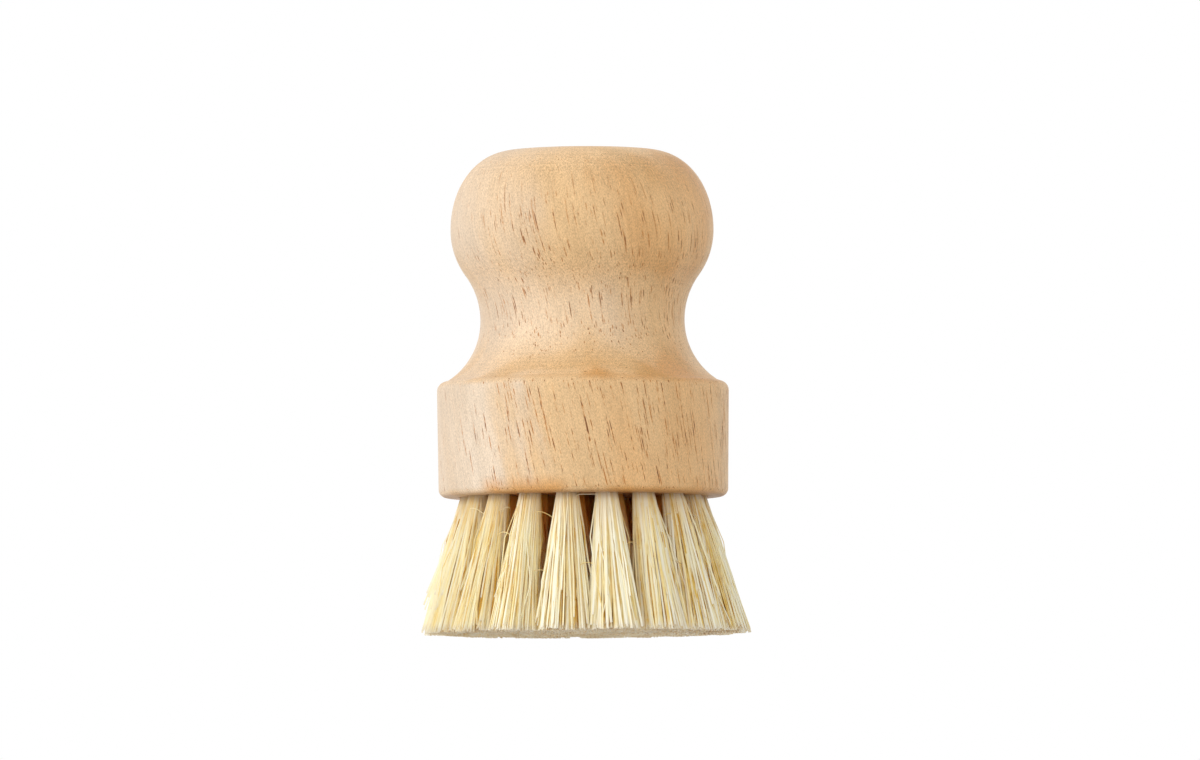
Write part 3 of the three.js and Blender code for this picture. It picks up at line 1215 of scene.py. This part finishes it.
@dataclass(frozen=True)
class StrandCount:
    """Where each point of a ring of strands belongs, as flows of a shape group."""

    strand: Flow
    point: Flow
    tuft: Flow
    number: Flow


@dataclass(frozen=True)
class LooseHair:
    """The few loose hairs of each tuft. Lengths are millimetres, and ranges are shares or radians."""

    per_tuft: int = 2
    points: int = 7
    length: float = 3.4
    lengths: Range = (0.6, 1.2)
    start_power: float = 1.2
    start_range: float = 0.55
    first_start: float = 0.02
    start_radius: float = 0.9
    turns: Range = (0.8, 1.8)
    veers: Range = (1.1, 2.0)
    reach_power: float = 0.8
    rises: Range = (-0.5, 0.7)
    curl: float = 0.6
    clearance: float = 0.3
    girths: Range = (0.32, 0.52)
    tints: Range = (0.0, 0.5)
    unshaded: float = 0.5
    along: float = 0.2


@dataclass
class Tufts:
    """The fibre tufts, ring by ring. Lengths are millimetres."""

    drilling: Drilling
    hair: LooseHair = LooseHair()
    fibres_per_tuft: int = 420
    points_per_fibre: int = 5
    fibre_sides: int = 3
    clumps: int = 7
    seed: int = 21
    seed_step: int = 100
    root_radius: float = 1.8
    root_depth: float = 8.0
    tip_radius: float = 3.75
    tip_dome: float = 0.5
    tip_flat: float = 0.25
    tip_edge_radius: float = 28.0
    trim: float = 0.9
    trim_power: float = 3.0
    clump_trim: float = 0.35
    broken: float = 7.0
    broken_power: float = 24.0
    tuft_shift: float = 0.5
    clump_shift: float = 0.6
    bow: float = 0.24
    stray: float = 1.7
    wild_power: float = 6.0
    beats: Range = (4.0, 9.0)
    bend_share: float = 0.7
    shell: float = 0.42
    tuft_spin: float = 1.7
    tip_spin: float = 0.35
    tip_reach: Range = (0.8, 1.1)
    fan_width: float = 1.14
    unshaded_side: Ramp = Ramp(-0.9, 0.1)
    unshaded_shell: Ramp = Ramp(0.7, 0.88)
    fibre_radius: float = 0.155
    girths: Range = (0.75, 1.25)
    tip_girth: float = 0.1
    wild_girth: float = -0.5

    def lengths(self, ring: int) -> dict[str, float]:
        """Gives the shape group's lengths for one ring, in millimetres.

        Args:
            ring: The ring, counted from the centre.

        Returns:
            Each input's name and value.
        """
        return {
            "Ring Radius": self.drilling.radius(ring),
            "Lean": self.drilling.lean_of(ring),
            "Bristle Length": self.drilling.bristle_length,
            "Root Radius": self.root_radius,
            "Root Depth": self.root_depth,
            "Tip Radius": self.tip_radius,
            "Tip Dome": self.tip_dome,
            "Tip Flat": self.tip_flat,
            "Tip Edge Radius": self.tip_edge_radius,
            "Trim": self.trim,
            "Broken": self.broken,
            "Tuft Shift": self.tuft_shift,
            "Clump Shift": self.clump_shift,
            "Bow": self.bow,
            "Stray": self.stray,
            "Fibre Radius": self.fibre_radius,
            "Hair Length": self.hair.length,
        }

    def counts(self, ring: int) -> dict[str, int]:
        """Gives the shape group's counts and its seed for one ring.

        Args:
            ring: The ring, counted from the centre.

        Returns:
            Each input's name and value.
        """
        return {
            "Tuft Count": self.drilling.count(ring),
            "Fibres per Tuft": self.fibres_per_tuft,
            "Points per Fibre": self.points_per_fibre,
            "Hairs per Tuft": self.hair.per_tuft,
            "Points per Hair": self.hair.points,
            "Seed": self.seed + self.seed_step * ring,
        }

    @staticmethod
    def counted(group: NodeGroup, per_tuft: Flow, per_strand: Flow) -> StrandCount:
        """Finds each point's strand and tuft from its index.

        Args:
            group: The shape group.
            per_tuft: The number of strands in a tuft.
            per_strand: The number of points in a strand.

        Returns:
            The point's strand, its place in the strand, its tuft and the strand's number in the tuft.
        """
        index = group.result("GeometryNodeInputIndex")
        strand = group.math("FLOOR", (index + HALF_STEP) / per_strand)
        tuft = group.math("FLOOR", (strand + HALF_STEP) / per_tuft)
        return StrandCount(strand, index - strand * per_strand, tuft, strand - tuft * per_tuft)

    @staticmethod
    def draw(group: NodeGroup, what: Draw, key: Flow, limits: Range = (0.0, 1.0)) -> Flow:
        """Gives a random number for each key, from a seed of its own.

        Args:
            group: The shape group.
            what: What the number is for.
            key: The strand, clump or tuft that has it.
            limits: The least and the most that it can be.

        Returns:
            The number.
        """
        inputs = {2: limits[0], 3: limits[1], "ID": key, "Seed": group.given("Seed") + float(what.value)}
        return group.result("FunctionNodeRandomValue", inputs, 1, data_type="FLOAT")

    @staticmethod
    def shift(group: NodeGroup, what: Draw, key: Flow) -> Flow:
        """Gives a random level vector for each key, from a seed of its own.

        Args:
            group: The shape group.
            what: What the vector is for.
            key: The strand, clump or tuft that has it.

        Returns:
            The vector, from -1 to 1 each way.
        """
        seed = group.given("Seed") + float(what.value)
        inputs = {0: (-1.0, -1.0, 0.0), 1: (1.0, 1.0, 0.0), "ID": key, "Seed": seed}
        return group.result("FunctionNodeRandomValue", inputs, data_type="FLOAT_VECTOR")

    @staticmethod
    def turn(group: NodeGroup, tuft: Flow) -> Flow:
        """Gives the turn about the brush's axis at which a tuft stands."""
        return tuft * (math.tau / group.given("Tuft Count")) + group.given("First Turn")

    def spreads(self, group: NodeGroup, count: StrandCount) -> tuple[Flow, Flow, Flow]:
        """Gives where a fibre lies in its tuft.

        Args:
            group: The shape group.
            count: Where each point belongs.

        Returns:
            The fibre's level offset from the tuft's axis at the root and at the tip, and its clump's key.
        """
        spin = count.number * GOLDEN_ANGLE + count.tuft * self.tuft_spin
        reach = ((count.number + HALF_STEP) / group.given("Fibres per Tuft")) ** self.shell
        at_root = group.polar(reach * group.given("Root Radius"), spin)
        tip_spin = spin + self.draw(group, Draw.TIP_SPIN, count.strand, (-self.tip_spin, self.tip_spin))
        tip_reach = reach * self.draw(group, Draw.TIP_REACH, count.strand, self.tip_reach)
        at_tip = group.polar(tip_reach * group.given("Tip Radius"), tip_spin)
        sector = group.math("FLOOR", group.math("FRACT", spin / math.tau) * float(self.clumps))
        clump = count.tuft * float(self.clumps) + sector
        at_tip = at_tip + self.shift(group, Draw.TUFT_SHIFT, count.tuft) * group.given("Tuft Shift")
        at_tip = at_tip + self.shift(group, Draw.CLUMP_SHIFT, clump) * group.given("Clump Shift")
        return at_root, at_tip, clump

    def tip_level(self, group: NodeGroup, tip: Flow, strand: Flow, clump: Flow) -> Flow:
        """Gives the height of a fibre's tip: trimmed to a shallow dome, not quite evenly.

        Args:
            group: The shape group.
            tip: Where the tip is, from above.
            strand: The fibre's number.
            clump: The number of the clump that it lies in.

        Returns:
            The height above the lowest tips.
        """
        share = group.length(tip) / group.given("Tip Edge Radius")
        level = group.larger(share * share * group.given("Tip Dome") - group.given("Tip Flat"), 0.0)
        uneven = self.draw(group, Draw.TRIM, strand) ** self.trim_power
        uneven = uneven + self.draw(group, Draw.CLUMP_TRIM, clump) * self.clump_trim
        level = level + uneven * group.given("Trim")
        return level + self.draw(group, Draw.BROKEN, strand) ** self.broken_power * group.given("Broken")

    def bends(self, group: NodeGroup, strand: Flow, along: Flow, wild: Flow) -> Flow:
        """Gives how far a fibre strays from a straight line.

        Args:
            group: The shape group.
            strand: The fibre's number.
            along: How far along the fibre the point is.
            wild: How unruly the fibre is, from 0 to 1.

        Returns:
            The level offset.
        """
        size = wild * group.given("Stray") + group.given("Bow")
        arch = group.math("SINE", along * math.pi) * size
        wave = group.math("SINE", along * self.draw(group, Draw.BEAT, strand, self.beats)) * arch
        bent = self.shift(group, Draw.BOW, strand) * arch + self.shift(group, Draw.WAVE, strand) * wave
        return bent * self.bend_share

    def fibres(self, group: NodeGroup) -> Flow:
        """Grows the fibres of one ring from their holes to their trimmed tips.

        Args:
            group: The shape group.

        Returns:
            The fibres as closed solids.
        """
        given = group.given
        length = given("Bristle Length")
        count = self.counted(group, given("Fibres per Tuft"), given("Points per Fibre"))
        # A fibre's first point is its root in the hole, and the others share out its free length.
        below = (count.point - 1.0) / (given("Points per Fibre") - 2.0)
        along = group.larger(below, 0.0)
        at_root, at_tip, clump = self.spreads(group, count)
        outwards = group.polar(1.0, self.turn(group, count.tuft))
        root = outwards * given("Ring Radius")
        lean = outwards * given("Lean")
        radial = group.dot(at_tip, outwards) * (1.0 - self.fan_width)
        at_tip = at_tip * self.fan_width + outwards * radial
        fall = length - self.tip_level(group, root + lean + at_tip, count.strand, clump)
        wild = self.draw(group, Draw.WILD, count.strand) ** self.wild_power
        free = group.lerp(along, at_root, at_tip) + (root + lean * along)
        free = free + self.bends(group, count.strand, along, wild)
        free = free + group.vector(z=length - fall * along)
        held = root + at_root - lean * (given("Root Depth") / length)
        held = held + group.vector(z=length + given("Root Depth"))
        place = group.lerp(group.math("LESS_THAN", below, 0.0), free, held)
        girth = self.draw(group, Draw.GIRTH, count.strand, self.girths)
        girth = girth * (along * self.tip_girth + 1.0) * (wild * self.wild_girth + 1.0)
        # How far a strand lies on the tuft's outer front; the others get painted shade in the fibre's colour.
        unshaded = group.span(group.dot(at_root, outwards) / given("Root Radius"), self.unshaded_side)
        unshaded = unshaded * group.span(group.length(at_root) / given("Root Radius"), self.unshaded_shell)
        tint = self.draw(group, Draw.TINT, count.strand)
        marks = {"tint": tint, "unshaded": unshaded, "along": along, "girth": girth}
        total = given("Tuft Count") * given("Fibres per Tuft") * given("Points per Fibre")
        return self.solid(group, total, place, count, marks)

    def hairs(self, group: NodeGroup) -> Flow:
        """Grows the few loose hairs that curl out of the sides of the tufts.

        Args:
            group: The shape group.

        Returns:
            The hairs as closed solids.
        """
        given = group.given
        hair = self.hair
        count = self.counted(group, given("Hairs per Tuft"), given("Points per Hair"))
        along = count.point / (given("Points per Hair") - 1.0)
        drop = self.draw(group, Draw.HAIR_START, count.strand) ** hair.start_power
        drop = drop * hair.start_range + hair.first_start
        tuft_turn = self.turn(group, count.tuft)
        side = group.math("SIGN", self.draw(group, Draw.HAIR_SIDE, count.strand) - EVEN_CHANCE)
        turn = side * self.draw(group, Draw.HAIR_TURN, count.strand, hair.turns) + tuft_turn
        veer = side * self.draw(group, Draw.HAIR_VEER, count.strand, hair.veers) + tuft_turn
        radius = drop * (given("Tip Radius") - given("Root Radius")) + given("Root Radius")
        axis = group.polar(1.0, tuft_turn) * (drop * given("Lean") + given("Ring Radius"))
        start = axis + group.polar(radius * hair.start_radius, turn)
        length = given("Hair Length") * self.draw(group, Draw.HAIR_LENGTH, count.strand, hair.lengths)
        rise = self.draw(group, Draw.HAIR_RISE, count.strand, hair.rises) * along
        curl = along * (1.0 - along) * hair.curl
        level = given("Bristle Length") - drop * given("Bristle Length") + (rise + curl) * length
        level = group.math("MINIMUM", level, given("Bristle Length") - hair.clearance * MM)
        place = start + group.polar(length * along ** hair.reach_power, veer) + group.vector(z=level)
        girth = self.draw(group, Draw.HAIR_GIRTH, count.strand, hair.girths)
        tint = self.draw(group, Draw.HAIR_TINT, count.strand, hair.tints)
        marks = {"tint": tint, "unshaded": hair.unshaded, "along": hair.along, "girth": girth}
        total = given("Tuft Count") * given("Hairs per Tuft") * given("Points per Hair")
        return self.solid(group, total, place, count, marks)

    def solid(
        self, group: NodeGroup, total: Flow, place: Flow, count: StrandCount, marks: dict[str, Feed]
    ) -> Flow:
        """Turns points into strands with a small closed cross-section.

        Args:
            group: The shape group.
            total: The number of points.
            place: Where each point lies.
            count: Where each point belongs.
            marks: The attributes that each point keeps; girth scales the cross-section.

        Returns:
            The strands.
        """
        points = group.result("GeometryNodePoints", {"Count": total, "Position": place})
        for label, value in marks.items():
            mark = {"Geometry": points, "Name": label, "Value": value}
            points = group.result("GeometryNodeStoreNamedAttribute", mark, data_type="FLOAT", domain="POINT")
        order = {"Points": points, "Curve Group ID": count.strand, "Weight": count.point}
        circle = {"Resolution": self.fibre_sides, "Radius": group.given("Fibre Radius")}
        strands = {
            "Curve": group.result("GeometryNodePointsToCurves", order),
            "Profile Curve": group.result("GeometryNodeCurvePrimitiveCircle", circle),
            "Scale": group.result("GeometryNodeInputNamedAttribute", {"Name": "girth"}, data_type="FLOAT"),
            "Fill Caps": True,
        }
        return group.result("GeometryNodeCurveToMesh", strands)

    def group(self) -> NodeGroup:
        """Builds the shape group that grows one ring of tufts.

        Returns:
            The group.
        """
        inputs = {"Start": SocketKind.GEOMETRY, "First Turn": SocketKind.FLOAT, "Fibre": SocketKind.MATERIAL}
        inputs |= {name: SocketKind.INT for name in self.counts(0)}
        inputs |= {name: SocketKind.FLOAT for name in self.lengths(0)}
        group = NodeGroup("Tuft Ring", TreeKind.SHAPE, inputs, {"Tufts": SocketKind.GEOMETRY})
        joined = group.add("GeometryNodeJoinGeometry")
        group.feed(joined.inputs[0], self.fibres(group))
        group.feed(joined.inputs[0], self.hairs(group))
        facets = {"Geometry": Flow(group, joined.outputs[0]), "Shade Smooth": False}
        flat = group.result("GeometryNodeSetShadeSmooth", facets)
        whole = group.result("GeometryNodeRealizeInstances", {"Geometry": flat})
        finish = {"Geometry": whole, "Material": group.given("Fibre")}
        group.give("Tufts", group.result("GeometryNodeSetMaterial", finish))
        return group

    def values(self, ring: int, fibre: bpy.types.Material) -> dict[str, Any]:
        """Gives the shape group's inputs for one ring, in metres.

        Args:
            ring: The ring, counted from the centre.
            fibre: The fibre's material.

        Returns:
            Each input's name and value.
        """
        values = {label: length * MM for label, length in self.lengths(ring).items()}
        values |= self.counts(ring)
        return values | {"First Turn": self.drilling.first_turn, "Fibre": fibre}

    def build(self, fibre: bpy.types.Material) -> list[bpy.types.Object]:
        """Makes each ring of tufts in place of its CAD solid.

        Args:
            fibre: The fibre's material.

        Returns:
            The rings, from the centre outwards.
        """
        group = self.group()
        pieces = []
        for ring, name in enumerate(self.drilling.rings):
            piece = made_by_rule(f"{name}_fibres", group, self.values(ring, fibre))
            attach(piece, BODY)
            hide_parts(f"{name}_tufts")
            pieces.append(piece)
        return pieces


@dataclass
class Staples:
    """The wire staples, which keep their CAD solids and get a finish."""

    prefix: str = "staple_"

    def dress(self, wire: bpy.types.Material) -> int:
        """Gives every staple the wire's finish.

        Args:
            wire: The wire's material.

        Returns:
            The number of staples.
        """
        staples = [node for name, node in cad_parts.items() if name.startswith(self.prefix)]
        for node in staples:
            node.data.materials.clear()
            node.data.materials.append(wire)
        return len(staples)


@dataclass
class Studio:
    """White surroundings, a soft lamp and the camera. Lengths are metres."""

    camera_place: Triple = (0.00294, -2.0, -0.05565)
    camera_pitch: float = 0.04966
    camera_roll: float = -0.0055
    focal_px: float = 11688.0
    image_width_px: float = 1200.0
    sensor_width_mm: float = 36.0
    seen_from: float = 0.01
    seen_to: float = 20.0
    dome: float = 0.885
    side_bias: float = 0.34
    from_below: Ramp = Ramp(-1.0, -0.2, 0.6, 1.0)
    white: Colour = (1.0, 1.0, 1.0, 1.0)
    key_place: Triple = (-0.92, -0.42, 0.36)
    key_size: float = 0.7
    key_power: float = 2.4
    target: Triple = (0.0, 0.0, 0.04)
    floor_reach: float = 2.5
    floor_tone: Colour = paint(243, 243, 241)
    light_bounces: int = 16

    def camera(self) -> None:
        """Makes the camera that stands where the photograph's did."""
        data = bpy.data.cameras.new("camera")
        data.sensor_width = self.sensor_width_mm
        data.lens = self.focal_px / self.image_width_px * self.sensor_width_mm
        data.clip_start = self.seen_from
        data.clip_end = self.seen_to
        camera = bpy.data.objects.new("camera", data)
        bpy.context.scene.collection.objects.link(camera)
        pitch = Matrix.Rotation(math.pi / 2 + self.camera_pitch, 4, "X")
        roll = Matrix.Rotation(self.camera_roll, 4, "Z")
        camera.matrix_world = Matrix.Translation(self.camera_place) @ pitch @ roll
        bpy.context.scene.camera = camera

    def lamp(self, name: str, place: Triple, size: float, power: float) -> None:
        """Makes one soft square lamp that faces the brush.

        Args:
            name: The lamp's name.
            place: Where it stands.
            size: The length of its sides.
            power: Its power in watts.
        """
        data = bpy.data.lights.new(name, "AREA")
        data.shape = "SQUARE"
        data.size = size
        data.energy = power
        lamp = bpy.data.objects.new(name, data)
        bpy.context.scene.collection.objects.link(lamp)
        facing = (Vector(self.target) - Vector(place)).to_track_quat("-Z", "Y")
        lamp.matrix_world = Matrix.Translation(place) @ facing.to_matrix().to_4x4()

    @staticmethod
    def seen(graph: NodeGraph) -> Flow:
        """Finds the rays that show the surroundings.

        Args:
            graph: The nodes of the surroundings or the floor.

        Returns:
            1 on rays from the camera, a reflection or glass, and 0 on the others.
        """
        path = graph.add("ShaderNodeLightPath")
        kinds = ("Is Camera Ray", "Is Glossy Ray", "Is Transmission Ray")
        camera, glossy, through = (Flow(graph, path.outputs[kind]) for kind in kinds)
        return graph.larger(camera, graph.larger(glossy, through))

    def surroundings(self) -> None:
        """Makes the white surroundings and their soft light, which is stronger from the left."""
        world = bpy.data.worlds.new("surroundings")
        bpy.context.scene.world = world
        world.use_nodes = True
        graph = NodeGraph(world.node_tree)
        from_right, _, height = graph.parts(graph.result("ShaderNodeTexCoord", output="Generated"))
        light = (1.0 - from_right * self.side_bias) * self.dome * graph.span(height, self.from_below)
        shown = self.seen(graph)
        strength = light * (1.0 - shown) + shown
        white = graph.result("ShaderNodeBackground", {"Color": self.white, "Strength": strength})
        graph.add("ShaderNodeOutputWorld", {"Surface": white})

    def floor(self) -> None:
        """Makes the pale floor, which shows from above and lets light through from below."""
        reach = self.floor_reach
        corners = [(-reach, -reach, 0), (reach, -reach, 0), (reach, reach, 0), (-reach, reach, 0)]
        mesh = bpy.data.meshes.new("floor")
        mesh.from_pydata(corners, [], [(0, 1, 2, 3)])
        floor = bpy.data.objects.new("floor", mesh)
        bpy.context.scene.collection.objects.link(floor)
        material, graph = new_surface("floor")
        above = 1.0 - graph.result("ShaderNodeNewGeometry", output="Backfacing")
        clear = graph.result("ShaderNodeBsdfTransparent")
        pale = graph.result("ShaderNodeBsdfDiffuse", {"Color": self.floor_tone})
        mixed = graph.result("ShaderNodeMixShader", {0: self.seen(graph) * above, 1: clear, 2: pale})
        graph.add("ShaderNodeOutputMaterial", {"Surface": mixed})
        mesh.materials.append(material)

    def build(self) -> None:
        """Makes the studio, with bounces enough for the light among the fibres."""
        bpy.context.scene.view_settings.view_transform = "Standard"
        bpy.context.scene.cycles.max_bounces = self.light_bounces
        bpy.context.scene.cycles.diffuse_bounces = self.light_bounces
        self.camera()
        self.surroundings()
        self.floor()
        self.lamp("key", self.key_place, self.key_size, self.key_power)


def main() -> None:
    """Builds the studio and the brush, piece by piece."""
    logging.basicConfig(level=logging.INFO, format="%(name)s: %(message)s")
    Studio().build()
    drift = tone_drift_group()
    drilling = Drilling()
    handle = Handle(drilling)
    piece = handle.build(TurnedWood().build(drift, handle.face_level / MM))
    log.info("%s: %d faces", piece.name, len(piece.data.polygons))
    for ring in Tufts(drilling).build(PlantFibre().build(drift)):
        log.info("%s: %d faces", ring.name, len(ring.data.polygons))
    log.info("staples: %d", Staples().dress(DrawnWire().build(drift)))


if __name__ == "__main__":
    main()
